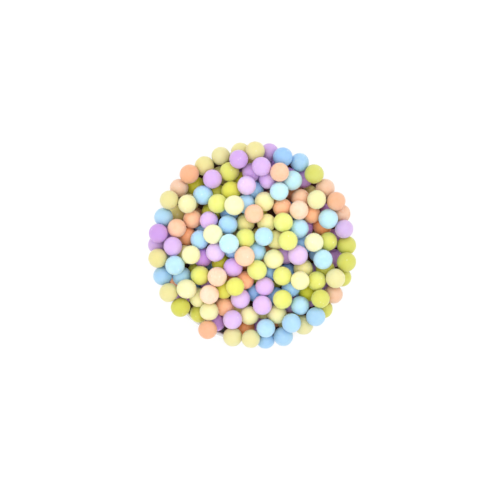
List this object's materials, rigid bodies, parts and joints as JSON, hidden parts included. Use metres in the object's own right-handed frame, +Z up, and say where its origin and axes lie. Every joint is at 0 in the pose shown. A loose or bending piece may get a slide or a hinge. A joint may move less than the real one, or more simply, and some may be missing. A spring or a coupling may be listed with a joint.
{
  "type": "bowl of candy coated chocolate balls",
  "caption": "Small round footed porcelain bowl heaped over its rim with pastel candy coated chocolate balls.",
  "frame": {"origin": "centre of the bowl's foot, on the surface that it stands on", "axes": "+Z up along the bowl's axis; -Y is the lower edge of the picture, +X its right edge"},
  "size_m": [0.1102, 0.1093, 0.0727],
  "materials": {
    "porcelain": "glossy white glaze",
    "candy_shell": "satin sugar shell in pastel cream, lime green, peach, sky blue and lilac"
  },
  "bodies": {
    "root": {"bowl": "porcelain", "candy_heap": "candy_shell"}
  },
  "joints": []
}
